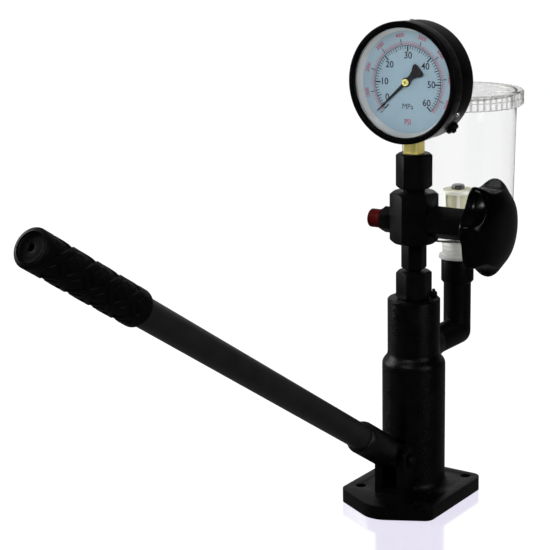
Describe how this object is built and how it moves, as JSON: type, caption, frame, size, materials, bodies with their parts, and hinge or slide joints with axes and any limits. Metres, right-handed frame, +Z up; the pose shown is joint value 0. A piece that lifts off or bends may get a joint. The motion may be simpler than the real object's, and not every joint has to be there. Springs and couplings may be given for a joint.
{
  "type": "diesel injector tester",
  "caption": "Hand pump for testing diesel injectors: cast column on a bolt-down base, long lever with a grip, round pressure gauge, shut-off hand wheel, capped outlet and clear oil cup.",
  "frame": {"origin": "underside of the base plate, on the axis of the pump column and at the centre of the bolt pattern", "axes": "+Z up the column, -Y towards the lever's grip and the gauge face, +X towards the hand wheel"},
  "size_m": [0.1437, 0.6124, 0.4184],
  "materials": {
    "cast_black": "black paint over a rough casting",
    "black_paint": "satin black",
    "gauge_paint": "gloss black",
    "lever_paint": "satin dark grey",
    "grip_rubber": "moulded",
    "wheel_plastic": "moulded, glossy",
    "steel": "machined",
    "brass": "machined",
    "dial_face": "matt, printed",
    "pointer_black": "matt",
    "glass": "clear",
    "clear_plastic": "clear",
    "white_plastic": "moulded",
    "red_plastic": "glossy"
  },
  "bodies": {
    "pump": {"pump_body": "cast_black", "pivot_pin": "steel", "pivot_clips": "steel", "plunger_spring": "steel", "pump_barrel": "steel", "delivery_union": "black_paint", "delivery_spring": "steel", "delivery_nipple": "black_paint", "vent_screw": "black_paint", "valve_block": "black_paint", "gauge_adaptor": "black_paint", "gauge_stem": "brass", "gauge_case": "gauge_paint", "gauge_bezel": "gauge_paint", "gauge_glass": "glass", "dial_ring": "white_plastic", "gauge_dial": "dial_face", "bourdon_tube": "brass", "movement_frame": "brass", "case_screws": "steel", "blowout_plug": "grip_rubber", "valve_gland": "black_paint", "gland_packing": "white_plastic", "outlet_union": "black_paint", "feed_elbow": "black_paint", "cup_seal": "clear_plastic", "oil_cup": "clear_plastic", "filter_body": "white_plastic", "filter_screw": "steel"},
    "lever": {"lever_head": "black_paint", "lever_tube": "lever_paint", "lever_grip": "grip_rubber"},
    "plunger": {"tappet": "steel", "plunger": "steel"},
    "delivery_valve": {"delivery_valve": "steel"},
    "valve_ball": {"valve_ball": "steel"},
    "wheel": {"hand_wheel": "wheel_plastic", "valve_spindle": "steel"},
    "pointer": {"gauge_pointer": "pointer_black", "pointer_arbor": "brass"},
    "sector": {"sector_gear": "brass"},
    "link": {"gauge_link": "steel"},
    "cap": {"outlet_cap": "red_plastic"},
    "lid_seal": {"lid_seal": "white_plastic"},
    "lid": {"cup_lid": "clear_plastic"}
  },
  "joints": [
    {"name": "lever_pivot", "type": "hinge", "parent": "pump", "child": "lever", "pos_m": [0, -0.03, 0.043], "axis": [1, 0, 0], "range_deg": [0, 33], "stiffness_Nm_per_rad": 4, "springref_deg": -25.78},
    {"name": "plunger_lift", "type": "slide", "parent": "pump", "child": "plunger", "axis": [0, 0, 1], "range_m": [0, 0.01705], "deforming": ["plunger_spring"]},
    {"name": "delivery_valve_lift", "type": "slide", "parent": "pump", "child": "delivery_valve", "axis": [0, 0, 1], "range_m": [0, 0.0015], "stiffness_N_per_m": 1500, "springref_m": -0.003, "deforming": ["delivery_spring"]},
    {"name": "valve_travel", "type": "slide", "parent": "pump", "child": "valve_ball", "axis": [1, 0, 0], "range_m": [0, 0.00225]},
    {"name": "wheel_turn", "type": "hinge", "parent": "valve_ball", "child": "wheel", "pos_m": [0.06, 0, 0.2486], "axis": [1, 0, 0], "range_deg": [0, 540]},
    {"name": "pointer_turn", "type": "hinge", "parent": "pump", "child": "pointer", "pos_m": [0, -0.012, 0.367], "axis": [0, 1, 0], "range_deg": [0, 270], "stiffness_Nm_per_rad": 0.0005, "springref_deg": -28.65},
    {"name": "sector_swing", "type": "hinge", "parent": "pump", "child": "sector", "pos_m": [0, -0.004, 0.34], "axis": [0, 1, 0], "range_deg": [-33.75, 0]},
    {"name": "link_swing", "type": "hinge", "parent": "sector", "child": "link", "pos_m": [-0.0094, -0.003, 0.33658], "axis": [0, 1, 0], "range_deg": [0, 33.75]},
    {"name": "cap_pull", "type": "slide", "parent": "pump", "child": "cap", "axis": [-1, 0, 0], "range_m": [0, 0.03]},
    {"name": "lid_rise", "type": "slide", "parent": "pump", "child": "lid_seal", "axis": [0, 0, 1], "range_m": [0, 0.012]},
    {"name": "lid_turn", "type": "hinge", "parent": "lid_seal", "child": "lid", "pos_m": [0, 0.078, 0.347], "axis": [0, 0, 1], "range_deg": [0, 720]}
  ],
  "couplings": [
    {"joint": "plunger_lift", "follows": "lever_pivot", "m_per_rad": 0.029587},
    {"joint": "valve_travel", "follows": "wheel_turn", "m_per_rad": 0.00023873},
    {"joint": "sector_swing", "follows": "pointer_turn", "ratio": -0.125},
    {"joint": "link_swing", "follows": "pointer_turn", "ratio": 0.125},
    {"joint": "lid_rise", "follows": "lid_turn", "m_per_rad": 0.00095493}
  ]
}
